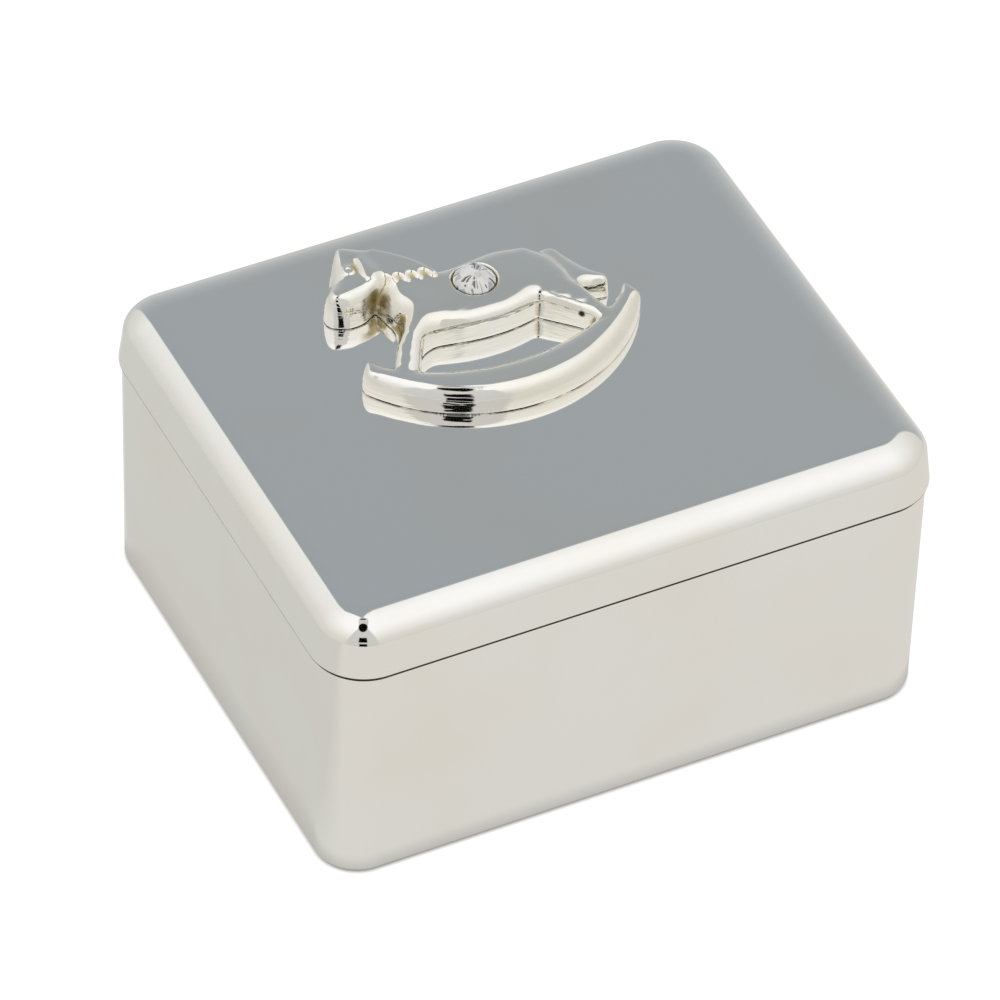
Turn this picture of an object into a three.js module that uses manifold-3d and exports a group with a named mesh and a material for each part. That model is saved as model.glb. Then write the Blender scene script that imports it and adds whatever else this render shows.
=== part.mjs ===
// Keepsake box: a cast, silver-plated tub with a hinged lid, a rocking-horse relief with a
// crystal on the lid, velvet linings and a felt base.
// Millimetres. X runs along the front, Y points to the back, Z points up from the table.
import * as THREE from 'three';
import { mergeVertices } from 'three/addons/utils/BufferGeometryUtils.js';
import { ConvexGeometry } from 'three/addons/geometries/ConvexGeometry.js';
import Module from 'manifold-3d';

const wasm = await Module();
wasm.setup();

// Outer form of the box
const boxLength = 60;
const boxWidth = 49.5;
const rimHeight = 24.2;
const lidHeight = 5.35;
const partingGap = 0.15;
const lidCornerRadius = 5.1;
const lidOverhang = 0.3;
const lidWallLean = 0.37;
const lidEdgeRun = 3.6;
const lidEdgeRise = 2.1;
const bodyDraft = 0.3;
const footCornerRadius = 4.1;
const footEdgeRadius = 0.35;
const rimEdgeRadius = 0.25;

// Casting thicknesses
const bodyWall = 2;
const bodyFloor = 1.4;
const lidWall = 2;
const lidTop = 1.6;
const ceilingEdgeRun = 1.6;
const ceilingEdgeRise = 1.1;

// Hinge
const hingeSetIn = 1.75;
const hingeLength = 30;
const lidKnuckleLength = 10;
const knuckleRadius = 1.45;
const knuckleEndGap = 0.3;
const knuckleRunGap = 0.3;
const pinRadius = 0.7;
const pinFit = 0.08;
const pinRecess = 0.25;
const openAngle = 100;
const stopGap = 0.15;

// Linings and felt
const feltThickness = 0.8;
const feltStandOff = 0.2;
const feltMargin = 1.8;
const feltFit = 0.2;
const panelThickness = 1.1;
const panelEdgeRadius = 0.35;
const panelDrop = 2;
const panelFit = 0.15;
const padThickness = 1.6;
const padCrown = 1.2;
const padDrawIn = 0.45;
const padCornerRadius = 1.5;
const padFit = 0.25;
const lidPadThickness = 0.7;
const lidPadCrown = 0.5;
const lidPadDrawIn = 0.3;
const lidPadCornerRadius = 2;
const lidPadMargin = 0.8;

// Rocking horse: reliefs above the lid and radii of the rounded-over edges.
// Its outlines and the places on it are in squares of a drawing grid.
const horseGrid = 1;
const horseX = -0.4;
const horseY = -4.25;
const bodyRelief = 3.1;
const rockerRelief = 2.5;
const footRelief = 2.5;
const headRelief = 3.35;
const tailRelief = 2.4;
const maneRelief = 3.4;
const earRelief = 3.7;
const bodyRim = 1.75;
const chestRim = 2.7;
const legRim = 0.75;
const rockerRim = 1.4;
const headRim = 2.5;
const tailRim = 1.1;
const maneRim = 0.3;
const earRim = 0.5;
const ridgeShare = 0.9;
const cornerShare = 0.45;
const cornerSpread = 0.7;
const rockerOuterRadius = 16.25;
const rockerTaper = 2.6;
const rockerDepth = 4.35;
const rockerHalfSpan = 13.45;
const rockerEndInset = 0.9;
const rockerEndRound = 1.2;
const rockerTipRound = 0.35;
const legTop = 12.5;
const legFoot = 6.5;
const legRimTop = 11.5;
const legRimFull = 9.5;
const chestX = -6.5;
const flankX = -3;
const maneArches = 4;
const maneArchRise = 1;
const maneSag = 0.2;
const eyePlace = [-9.6, 19.5];
const eyeRadius = 0.42;
const eyeBead = 0.16;

// Crystal
const crystalPlace = [0.3, 14.2];
const crystalRadius = 1.95;
const crystalGirdle = 0.75;
const crystalCrown = 0.75;
const crystalTable = 0.55;
const crystalBelt = 0.82;
const crystalBeltRise = 0.55;
const crystalSides = 8;
const seatFit = 0.12;
const seatDepth = 0.85;

// Facets
const cornerSteps = 10;
const edgeSteps = 8;
const smallEdgeSteps = 3;
const roundSides = 32;
const rimSteps = 5;
const curveSteps = 5;
const arcSteps = 18;
const crownSteps = 6;
const beadSides = 6;
const tiny = 1e-6;

// Places that follow from the sizes above
const lidFoot = rimHeight + partingGap;
const lidTopZ = lidFoot + lidHeight;
const ceilingZ = lidTopZ - lidTop;
const floorZ = feltThickness + bodyFloor;
const hingeY = boxWidth / 2 - hingeSetIn;
const hingeZ = rimHeight + partingGap / 2;
const bodyHalfX = boxLength / 2 - lidOverhang;
const bodyHalfY = boxWidth / 2 - lidOverhang;
const bodyRimRadius = lidCornerRadius - lidOverhang;
const tubHalfX = bodyHalfX - bodyDraft - bodyWall;
const tubHalfY = bodyHalfY - bodyDraft - bodyWall;
const tubCornerRadius = footCornerRadius - bodyWall;
const rockerInnerRadius = rockerOuterRadius + rockerTaper;
const rockerInnerY = rockerDepth + rockerInnerRadius;

const silver = { color: 0xd9d8d2, roughness: 0.12, metalness: 1 };
const steel = { color: 0xb9bbbd, roughness: 0.25, metalness: 1 };
const stone = { color: 0xf2f4f6, roughness: 0.02, metalness: 0 };
const velvet = { color: 0x27314f, roughness: 0.95, metalness: 0 };
const felt = { color: 0x2a2c33, roughness: 1, metalness: 0 };

const box = new THREE.Group();

function addPiece(parent, name, geometry, finish) {
  const mesh = new THREE.Mesh(geometry, new THREE.MeshStandardMaterial(finish));
  mesh.name = name;
  parent.add(mesh);
}

// Closed geometry to solid and back, for joining and cutting. Lofts share their points already.
function toSolid(geometry) {
  const bare = geometry.clone();
  bare.deleteAttribute('normal');
  bare.deleteAttribute('uv');
  const shared = geometry.hasAttribute('normal') ? mergeVertices(bare) : bare;
  return new wasm.Manifold(
    new wasm.Mesh({
      numProp: 3,
      vertProperties: shared.attributes.position.array,
      triVerts: new Uint32Array(shared.index.array),
    }),
  );
}

function toGeometry(solid) {
  const mesh = solid.getMesh();
  const geometry = new THREE.BufferGeometry();
  geometry.setAttribute('position', new THREE.BufferAttribute(mesh.vertProperties, 3));
  geometry.setIndex(new THREE.BufferAttribute(mesh.triVerts, 1));
  geometry.computeVertexNormals();
  return geometry;
}

// A level ring with rounded corners, counter-clockwise from above
function ring(halfX, halfY, radius, z) {
  const points = [];
  const centres = [[1, 1], [-1, 1], [-1, -1], [1, -1]];
  centres.forEach(([sideX, sideY], quarter) => {
    for (let step = 0; step <= cornerSteps; step++) {
      const angle = (quarter + step / cornerSteps) * (Math.PI / 2);
      const x = sideX * (halfX - radius) + radius * Math.cos(angle);
      const y = sideY * (halfY - radius) + radius * Math.sin(angle);
      points.push(new THREE.Vector3(x, y, z));
    }
  });
  return points;
}

// Rings joined from the lowest to the highest, with both ends closed
function loft(rings) {
  const count = rings[0].length;
  const last = (rings.length - 1) * count;
  const index = [];
  for (let row = 0; row < rings.length - 1; row++) {
    for (let i = 0; i < count; i++) {
      const a = row * count + i;
      const b = row * count + ((i + 1) % count);
      index.push(a, b, b + count, a, b + count, a + count);
    }
  }
  for (const [a, b, c] of THREE.ShapeUtils.triangulateShape(rings[0], [])) {
    index.push(a, c, b);
  }
  for (const [a, b, c] of THREE.ShapeUtils.triangulateShape(rings[rings.length - 1], [])) {
    index.push(last + a, last + b, last + c);
  }
  const geometry = new THREE.BufferGeometry().setFromPoints(rings.flat());
  geometry.setIndex(index);
  return geometry;
}

// Insets and heights along a quarter of an ellipse, from its side (upright) to its crown (level)
function quarterEllipse(run, rise, steps) {
  return Array.from({ length: steps + 1 }, (_, step) => {
    const angle = (step / steps) * (Math.PI / 2);
    return [run * (1 - Math.cos(angle)), rise * Math.sin(angle)];
  });
}

// Round bar along X, centred on the hinge axis
function hingeBar(radius, length, x) {
  const bar = new THREE.CylinderGeometry(radius, radius, length, roundSides);
  return bar.rotateZ(Math.PI / 2).translate(x, hingeY, hingeZ);
}

// Tub casting before the hinge is cut: drafted sides, softened foot and rim
function tub() {
  const rings = [];
  const bodyRing = (inset, radius, z) =>
    rings.push(ring(bodyHalfX - inset, bodyHalfY - inset, radius, z));
  const footZ = feltStandOff;
  for (const [inset, drop] of quarterEllipse(footEdgeRadius, footEdgeRadius, smallEdgeSteps).reverse()) {
    bodyRing(bodyDraft + inset, footCornerRadius - inset, footZ + footEdgeRadius - drop);
  }
  for (const [inset, rise] of quarterEllipse(rimEdgeRadius, rimEdgeRadius, smallEdgeSteps)) {
    bodyRing(inset, bodyRimRadius - inset, rimHeight - rimEdgeRadius + rise);
  }
  const hollow = loft([
    ring(tubHalfX, tubHalfY, tubCornerRadius, floorZ),
    ring(tubHalfX + bodyDraft, tubHalfY + bodyDraft, bodyRimRadius - bodyWall, rimHeight),
    ring(tubHalfX + bodyDraft, tubHalfY + bodyDraft, bodyRimRadius - bodyWall, lidTopZ),
  ]);
  const feltRecess = loft([
    ring(...feltPlan(0), -feltThickness),
    ring(...feltPlan(0), feltThickness),
  ]);
  return toSolid(loft(rings)).subtract(toSolid(hollow)).subtract(toSolid(feltRecess));
}

function feltPlan(fit) {
  const inset = bodyDraft + feltMargin + fit;
  return [bodyHalfX - inset, bodyHalfY - inset, footCornerRadius - feltMargin];
}

// Lid casting before the hinge is cut: leaning wall, elliptical top edge, hollow inside
function lidShell() {
  const rings = [];
  const lidRing = (inset, radius, z) =>
    rings.push(ring(boxLength / 2 - inset, boxWidth / 2 - inset, radius, z));
  for (const [inset, drop] of quarterEllipse(rimEdgeRadius, rimEdgeRadius, smallEdgeSteps).reverse()) {
    lidRing(inset, lidCornerRadius - inset, lidFoot + rimEdgeRadius - drop);
  }
  for (const [run, rise] of quarterEllipse(lidEdgeRun, lidEdgeRise, edgeSteps)) {
    const inset = lidWallLean + run;
    lidRing(inset, lidCornerRadius - inset, lidTopZ - lidEdgeRise + rise);
  }
  const hollowHalfX = boxLength / 2 - lidWall;
  const hollowHalfY = boxWidth / 2 - lidWall;
  const hollowRadius = lidCornerRadius - lidWall;
  const hollow = [
    ring(hollowHalfX, hollowHalfY, hollowRadius, lidFoot - lidHeight),
    ring(hollowHalfX, hollowHalfY, hollowRadius, lidFoot),
  ];
  for (const [run, rise] of quarterEllipse(ceilingEdgeRun, ceilingEdgeRise, smallEdgeSteps)) {
    const inset = lidWallLean + run;
    const z = ceilingZ - ceilingEdgeRise + rise;
    hollow.push(ring(hollowHalfX - inset, hollowHalfY - inset, hollowRadius - inset, z));
  }
  return toSolid(loft(rings)).subtract(toSolid(loft(hollow)));
}

// The V along the back edge: its two faces meet and stop the lid when it is open
function stopGroove() {
  const reach = 2 * hingeSetIn;
  const spread = reach * Math.tan(THREE.MathUtils.degToRad(openAngle / 2));
  const vee = new THREE.Shape();
  vee.moveTo(hingeY - stopGap, hingeZ);
  vee.lineTo(hingeY - stopGap + reach, hingeZ - spread);
  vee.lineTo(hingeY - stopGap + reach, hingeZ + spread);
  const groove = new THREE.ExtrudeGeometry(vee, { depth: boxLength, bevelEnabled: false });
  const toBackEdge = new THREE.Matrix4().makeBasis(
    new THREE.Vector3(0, 1, 0),
    new THREE.Vector3(0, 0, 1),
    new THREE.Vector3(1, 0, 0),
  );
  return groove.applyMatrix4(toBackEdge).translate(-boxLength / 2, 0, 0);
}

// Knuckles are cast with the tub (outer two) and with the lid (middle one)
const sideKnuckleLength = (hingeLength - lidKnuckleLength) / 2 - knuckleEndGap;
const sideKnuckleX = (hingeLength - sideKnuckleLength) / 2;
const pocketRadius = knuckleRadius + knuckleRunGap;
const sidePocketLength = sideKnuckleLength + 2 * knuckleEndGap;
const lidPocketLength = lidKnuckleLength + 2 * knuckleEndGap;

function boxBody() {
  let body = tub()
    .subtract(toSolid(stopGroove()))
    .subtract(toSolid(hingeBar(pocketRadius, lidPocketLength, 0)));
  for (const side of [-1, 1]) {
    body = body.add(toSolid(hingeBar(knuckleRadius, sideKnuckleLength, side * sideKnuckleX)));
  }
  return body.subtract(toSolid(hingeBar(pinRadius + pinFit, boxLength, 0)));
}

function lid() {
  let shell = lidShell().subtract(toSolid(stopGroove()));
  for (const side of [-1, 1]) {
    shell = shell.subtract(toSolid(hingeBar(pocketRadius, sidePocketLength, side * sideKnuckleX)));
  }
  return shell
    .add(toSolid(hingeBar(knuckleRadius, lidKnuckleLength, 0)))
    .subtract(toSolid(hingeBar(pinRadius + pinFit, boxLength, 0)));
}

addPiece(box, 'box_body', toGeometry(boxBody()), silver);
addPiece(box, 'lid', toGeometry(lid()), silver);
addPiece(box, 'hinge_pin', hingeBar(pinRadius, hingeLength - 2 * pinRecess, 0), steel);

// Felt sheet in its recess, standing a little proud so that the box rests on it
const feltSheet = loft([ring(...feltPlan(feltFit), 0), ring(...feltPlan(feltFit), feltThickness)]);
addPiece(box, 'base_felt', feltSheet, felt);

// Velvet-wrapped card panel: its back is shorter than its face, to clear the rounded corner
function liningPanel(backHalf, faceHalf) {
  const plan = new THREE.Shape();
  plan.moveTo(-backHalf, 0);
  plan.lineTo(backHalf, 0);
  plan.lineTo(faceHalf, panelThickness);
  plan.lineTo(-faceHalf, panelThickness);
  const height = rimHeight - panelDrop - floorZ;
  const panel = new THREE.ExtrudeGeometry(plan, {
    depth: height - 2 * panelEdgeRadius,
    bevelThickness: panelEdgeRadius,
    bevelSize: panelEdgeRadius,
    bevelOffset: -panelEdgeRadius,
    bevelSegments: smallEdgeSteps,
  });
  return panel.translate(0, 0, panelEdgeRadius);
}

const faceInset = panelFit + panelThickness;
const cornerReach = Math.sqrt(tubCornerRadius ** 2 - Math.max(tubCornerRadius - faceInset, 0) ** 2);
const longBack = tubHalfX - tubCornerRadius;
const longFace = longBack + cornerReach - panelFit;
const shortBack = tubHalfY - tubCornerRadius;
const shortFace = tubHalfY - faceInset - panelFit;
const panels = [
  ['lining_panel_front', longBack, longFace, 0, -tubHalfY + panelFit, 0],
  ['lining_panel_back', longBack, longFace, 0, tubHalfY - panelFit, Math.PI],
  ['lining_panel_left', shortBack, shortFace, -tubHalfX + panelFit, 0, -Math.PI / 2],
  ['lining_panel_right', shortBack, shortFace, tubHalfX - panelFit, 0, Math.PI / 2],
];
for (const [name, back, face, x, y, turn] of panels) {
  const panel = liningPanel(back, face).rotateZ(turn).translate(x, y, floorZ);
  addPiece(box, name, panel, velvet);
}

// Cushion: sides drawn in below, rounded shoulder, crowned top
function cushion(halfX, halfY, radius, thickness, crown, drawIn) {
  const waist = thickness / 2;
  const rings = [ring(halfX - drawIn, halfY - drawIn, radius, 0), ring(halfX, halfY, radius, waist)];
  for (const [inset, rise] of quarterEllipse(drawIn, waist, smallEdgeSteps).slice(1)) {
    rings.push(ring(halfX - inset, halfY - inset, radius, waist + rise));
  }
  const topX = halfX - drawIn;
  const topY = halfY - drawIn;
  for (let step = 1; step < crownSteps; step++) {
    const share = 1 - step / crownSteps;
    const z = thickness + crown * (1 - share ** 2);
    rings.push(ring(topX * share, topY * share, radius * share, z));
  }
  return loft(rings);
}

const padHalfX = tubHalfX - faceInset - padFit;
const padHalfY = tubHalfY - faceInset - padFit;
const floorPad = cushion(padHalfX, padHalfY, padCornerRadius, padThickness, padCrown, padDrawIn);
addPiece(box, 'lining_floor_pad', floorPad.translate(0, 0, floorZ), velvet);

const ceilingInset = lidWall + lidWallLean + ceilingEdgeRun + lidPadMargin;
const lidPad = cushion(
  boxLength / 2 - ceilingInset,
  boxWidth / 2 - ceilingInset,
  lidPadCornerRadius,
  lidPadThickness,
  lidPadCrown,
  lidPadDrawIn,
);
addPiece(box, 'lid_lining_pad', lidPad.rotateX(Math.PI).translate(0, 0, ceilingZ), velvet);

// Rocking horse, drawn in plan from the lowest point of its rocker, head to the left
function onGrid([x, y]) {
  return new THREE.Vector2(x * horseGrid, y * horseGrid);
}

function outline(start, ...runs) {
  const shape = new THREE.Shape();
  shape.moveTo(...onGrid(start));
  for (const run of runs) {
    shape.splineThru(run.map(onGrid));
  }
  return shape;
}

const trunkShape = outline(
  [-8.3, 16.5],
  [[-8.05, 15], [-7.85, 13.3], [-9.1, 10.5], [-10.9, 7.2], [-10.9, 6.2], [-9.8, 5.7], [-8.8, 6.3],
    [-7.6, 8.5], [-6.8, 9.7], [-5.4, 10.3], [-4, 10.15], [-1.8, 9.75], [0.8, 9.6], [3, 9.8], [4.65, 10.15]],
  [[7.65, 7.25], [8.6, 5.9]],
  [[9.6, 5.6], [10.1, 6.4], [9.45, 8.5], [9.05, 10.4], [8.95, 12.4], [8.5, 14.6], [7.4, 16.2], [6, 17.2],
    [3.5, 17.7], [1.2, 17.5], [-0.6, 17.3], [-1.9, 17.3]],
  [[-2.6, 18.2], [-3.8, 19.6], [-5.2, 20.8], [-6.9, 22], [-8.4, 22.5], [-9.7, 21.8], [-10.2, 20.3],
    [-9.7, 18.4], [-8.3, 16.5]],
);
const headShape = outline(
  [-9.9, 22.3],
  [[-11.3, 20.4], [-12.35, 18.7], [-12.95, 17.5], [-12.75, 16.5], [-11.8, 15.85], [-10.65, 15.6],
    [-9.4, 15.9], [-8.2, 16.6]],
  [[-7.7, 18.5], [-7.9, 20.5], [-8.7, 22.1], [-9.9, 22.3]],
);
const tailShape = outline(
  [7.2, 16],
  [[8.4, 16.3], [9.3, 15.8], [10, 14.5], [10.6, 13.1], [11.3, 11.9], [12, 11]],
  [[11.7, 10.1], [10.6, 10.2], [8.6, 10.6]],
  [[7.6, 12.6], [7.2, 16]],
);
const earShape = outline(
  [-8.25, 20.7],
  [[-8.7, 19.4], [-8.85, 18.1], [-8.1, 17], [-7.35, 17.6], [-7.3, 19], [-8, 20.7], [-8.25, 20.7]],
);

// Crescent between two arcs. Each end bulges along the arcs' own directions.
function rockerShape() {
  const outerAngle = -Math.acos(rockerHalfSpan / rockerOuterRadius);
  const innerAngle = -Math.acos((rockerHalfSpan - rockerEndInset) / rockerInnerRadius);
  const shape = new THREE.Shape();
  shape.absarc(0, rockerOuterRadius, rockerOuterRadius, Math.PI - outerAngle, 2 * Math.PI + outerAngle);
  const outerEnd = arcPoint(rockerOuterRadius, rockerOuterRadius, outerAngle, 0);
  const outerPull = arcPoint(rockerOuterRadius, rockerOuterRadius, outerAngle, rockerEndRound);
  const innerEnd = arcPoint(rockerInnerY, rockerInnerRadius, innerAngle, 0);
  const innerPull = arcPoint(rockerInnerY, rockerInnerRadius, innerAngle, rockerTipRound);
  const mirrored = ([x, y]) => [-x, y];
  shape.bezierCurveTo(...outerPull, ...innerPull, ...innerEnd);
  shape.absarc(0, rockerInnerY, rockerInnerRadius, innerAngle, -Math.PI - innerAngle, true);
  shape.bezierCurveTo(...mirrored(innerPull), ...mirrored(outerPull), ...mirrored(outerEnd));
  return shape;
}

// Point at an angle on an arc round (0, centreY), moved on along the arc's direction
function arcPoint(centreY, radius, angle, onward) {
  const x = radius * Math.cos(angle) - onward * Math.sin(angle);
  const y = centreY + radius * Math.sin(angle) + onward * Math.cos(angle);
  return [x, y];
}

// Mane: a raised lock whose lower edge is cut in small arches, with the forelock at its top
function maneShape() {
  const first = onGrid([-7.6, 16.8]);
  const last = onGrid([-2.95, 15.9]);
  const sag = new THREE.Vector2(0, -4 * maneSag);
  const hem = (share) => first.clone().lerp(last, share).addScaledVector(sag, share * (1 - share));
  const shape = new THREE.Shape();
  shape.moveTo(first.x, first.y);
  for (let arch = 0; arch < maneArches; arch++) {
    const top = hem((arch + 0.5) / maneArches);
    const cusp = hem((arch + 1) / maneArches);
    shape.quadraticCurveTo(top.x, top.y + 2 * maneArchRise, cusp.x, cusp.y);
  }
  const crest = [[-2.4, 16.3], [-2.8, 17.2], [-3.8, 18.8], [-5.8, 20.85], [-7.8, 22.2], [-9, 23]];
  const forelock = [[-9.5, 22.9], [-9.5, 22.2], [-8.7, 21], [-8.3, 19], [-8.2, 17.2], [-7.6, 16.8]];
  shape.splineThru(crest.map(onGrid));
  shape.splineThru(forelock.map(onGrid));
  return shape;
}

// How far each point of a closed outline can move inwards before it meets the far side.
// A corner's own point moves least, and its neighbours only a little more.
function inwardRoom(points, normals) {
  const count = points.length;
  const room = points.map((point, i) => {
    let least = Infinity;
    points.forEach((other, j) => {
      const across = other.clone().sub(point);
      const depth = across.dot(normals[i]);
      const beside = (j + 1) % count === i || (i + 1) % count === j;
      const share = beside ? cornerShare : ridgeShare;
      if (depth > tiny) least = Math.min(least, (share * across.lengthSq()) / (2 * depth));
    });
    return least;
  });
  const settle = (from, to) => {
    room[to] = Math.min(room[to], room[from] + cornerSpread * points[from].distanceTo(points[to]));
  };
  for (let i = 0; i < 2 * count; i++) {
    settle(i % count, (i + 1) % count);
    settle((2 * count - i) % count, (2 * count - i - 1) % count);
  }
  return room;
}

function inwardNormals(points) {
  const count = points.length;
  return points.map((point, i) => {
    const along = points[(i + 1) % count].clone().sub(points[(i + count - 1) % count]);
    return new THREE.Vector2(-along.y, along.x).normalize();
  });
}

// Plate with a flat face at the given relief and a rounded-over rim, sunk below the lid's top.
// Where the outline is too narrow for the rim's radius, the rim steepens to a ridge.
function plate(shape, relief, rimAt, steps = curveSteps) {
  const points = shape.extractPoints(steps).shape;
  if (points[0].distanceTo(points[points.length - 1]) < tiny) points.pop();
  if (THREE.ShapeUtils.isClockWise(points)) points.reverse();
  const normals = inwardNormals(points);
  const rims = points.map(rimAt);
  const runs = inwardRoom(points, normals).map((room, i) => Math.min(rims[i], room));
  const level = (share, rise) =>
    points.map((point, i) => {
      const moved = point.clone().addScaledVector(normals[i], share * runs[i]);
      return new THREE.Vector3(moved.x, moved.y, relief - rims[i] * (1 - rise));
    });
  const sunk = points.map((point) => new THREE.Vector3(point.x, point.y, -relief));
  const rings = quarterEllipse(1, 1, rimSteps).map(([share, rise]) => level(share, rise));
  return loft([sunk, ...rings]);
}

const smoothShare = (value, from, to) => THREE.MathUtils.smoothstep((value - from) / (to - from), 0, 1);

// The trunk's rim is widest round the chest and narrow down the legs
function trunkRim(point) {
  const chest = smoothShare(point.x / horseGrid, flankX, chestX);
  const leg = smoothShare(point.y / horseGrid, legRimTop, legRimFull);
  const trunk = THREE.MathUtils.lerp(bodyRim, chestRim, chest);
  return THREE.MathUtils.lerp(trunk, legRim, leg);
}

// Trunk whose lower part slopes down from the body's relief to the rocker's at the feet
function trunk() {
  const whole = toSolid(plate(trunkShape, bodyRelief, trunkRim));
  const [upper, level] = whole.splitByPlane([0, 1, 0], legTop * horseGrid);
  const lower = toGeometry(level);
  const place = lower.attributes.position;
  for (let i = 0; i < place.count; i++) {
    const relief = THREE.MathUtils.mapLinear(place.getY(i) / horseGrid, legTop, legFoot, bodyRelief, footRelief);
    place.setZ(i, (place.getZ(i) * relief) / bodyRelief);
  }
  return upper.add(toSolid(lower));
}

function rockingHorse() {
  const eye = new THREE.TorusGeometry(eyeRadius, eyeBead, beadSides, roundSides / 2);
  const plates = [
    plate(headShape, headRelief, () => headRim),
    plate(rockerShape(), rockerRelief, () => rockerRim, arcSteps),
    plate(tailShape, tailRelief, () => tailRim),
    plate(maneShape(), maneRelief, () => maneRim),
    plate(earShape, earRelief, () => earRim),
    eye.translate(...onGrid(eyePlace), headRelief),
  ];
  const casting = plates.reduce(
    (joined, geometry) => joined.add(toSolid(geometry)),
    trunk(),
  );
  const seatRadius = crystalRadius + seatFit;
  const seat = new THREE.CylinderGeometry(seatRadius, seatRadius, 2 * seatDepth, roundSides)
    .rotateX(Math.PI / 2)
    .translate(...onGrid(crystalPlace), bodyRelief);
  const belowLid = new THREE.BoxGeometry(boxLength, boxWidth, 2 * bodyRelief).translate(0, 0, -bodyRelief);
  return casting.subtract(toSolid(belowLid)).subtract(toSolid(seat));
}

// Round stone with a flat back: girdle, a belt of facets and a table
function crystal() {
  const points = [];
  const addRow = (count, radius, z, turn) => {
    for (let i = 0; i < count; i++) {
      const angle = ((i + turn) / count) * 2 * Math.PI;
      points.push(new THREE.Vector3(radius * Math.cos(angle), radius * Math.sin(angle), z));
    }
  };
  addRow(2 * crystalSides, crystalRadius, 0, 0);
  addRow(2 * crystalSides, crystalRadius, crystalGirdle, 0);
  addRow(crystalSides, crystalRadius * crystalBelt, crystalGirdle + crystalCrown * crystalBeltRise, 0);
  addRow(crystalSides, crystalRadius * crystalTable, crystalGirdle + crystalCrown, 0.5);
  return new ConvexGeometry(points);
}

const horse = new THREE.Group();
horse.position.set(horseX, horseY, lidTopZ);
addPiece(horse, 'rocking_horse', toGeometry(rockingHorse()), silver);
const stoneGeometry = crystal().translate(...onGrid(crystalPlace), bodyRelief - seatDepth);
addPiece(horse, 'crystal', stoneGeometry, stone);
box.add(horse);

export default box;
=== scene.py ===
import bpy
import math
from mathutils import Matrix, Vector, kdtree


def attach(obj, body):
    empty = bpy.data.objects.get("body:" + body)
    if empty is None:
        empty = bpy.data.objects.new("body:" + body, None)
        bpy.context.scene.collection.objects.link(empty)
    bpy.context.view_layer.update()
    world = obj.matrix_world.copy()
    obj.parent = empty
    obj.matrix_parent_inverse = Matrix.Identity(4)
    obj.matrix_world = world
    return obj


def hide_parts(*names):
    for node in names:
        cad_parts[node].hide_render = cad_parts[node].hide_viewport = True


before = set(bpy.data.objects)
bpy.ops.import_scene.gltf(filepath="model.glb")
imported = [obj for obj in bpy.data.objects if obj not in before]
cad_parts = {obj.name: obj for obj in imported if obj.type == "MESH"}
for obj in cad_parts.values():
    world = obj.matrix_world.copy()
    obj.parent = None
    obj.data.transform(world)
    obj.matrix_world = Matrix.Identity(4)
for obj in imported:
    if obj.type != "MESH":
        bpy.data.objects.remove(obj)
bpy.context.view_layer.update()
mm = 0.001
print("frame loaded with", len(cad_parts), "nodes")


# small tools

def srgb(hexValue):
    parts = [int(hexValue[i:i + 2], 16) / 255 for i in (0, 2, 4)]
    linear = [p / 12.92 if p <= 0.04045 else ((p + 0.055) / 1.055) ** 2.4 for p in parts]
    return (*linear, 1.0)


def addNode(tree, kind, inputs=None, **settings):
    node = tree.nodes.new("ShaderNode" + kind)
    for key, value in settings.items():
        setattr(node, key, value)
    for key, value in (inputs or {}).items():
        if isinstance(value, bpy.types.NodeSocket):
            tree.links.new(value, node.inputs[key])
        else:
            node.inputs[key].default_value = value
    return node


def newMaterial(name):
    material = bpy.data.materials.new(name)
    material.use_nodes = True
    tree = material.node_tree
    tree.nodes.clear()
    shader = addNode(tree, "BsdfPrincipled")
    addNode(tree, "OutputMaterial", {"Surface": shader.outputs[0]})
    return material, tree, shader


def perMm(size):
    return 1 / (size * mm)  # texture scale whose pattern repeats about every size millimetres


def nothingSelected():
    if bpy.context.object and bpy.context.object.mode != "OBJECT":
        bpy.ops.object.mode_set(mode="OBJECT")
    bpy.ops.object.select_all(action="DESELECT")


def objectMode(piece):
    nothingSelected()
    piece.select_set(True)
    bpy.context.view_layer.objects.active = piece


def editMode(piece):
    objectMode(piece)
    bpy.ops.object.mode_set(mode="EDIT")
    bpy.ops.mesh.select_all(action="DESELECT")


# selects the points that pass a test, in edit mode
def pickPoints(piece, test):
    bpy.ops.mesh.select_mode(type="VERT")
    bpy.ops.mesh.select_all(action="DESELECT")
    bpy.ops.object.mode_set(mode="OBJECT")
    for point in piece.data.vertices:
        point.select = test(point.co / mm)
    bpy.ops.object.mode_set(mode="EDIT")


def useModifier(piece, kind, **settings):
    objectMode(piece)
    modifier = piece.modifiers.new(kind.title(), kind)
    for key, value in settings.items():
        setattr(modifier, key, value)
    bpy.ops.object.modifier_apply(modifier=modifier.name)


def cutOrJoin(piece, other, operation):
    useModifier(piece, "BOOLEAN", object=other, operation=operation, solver="EXACT")
    bpy.data.objects.remove(other)


def dress(piece, body, materials, node):
    piece.data.materials.clear()
    for material in materials:
        piece.data.materials.append(material)
    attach(piece, body)
    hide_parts(node)


def copyOfNode(name, node):
    piece = bpy.data.objects.new(name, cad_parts[node].data.copy())
    piece.data.name = name
    bpy.context.scene.collection.objects.link(piece)
    editMode(piece)
    bpy.ops.mesh.select_all(action="SELECT")
    bpy.ops.mesh.remove_doubles(threshold=0.0005 * mm)
    objectMode(piece)
    return piece


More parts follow.
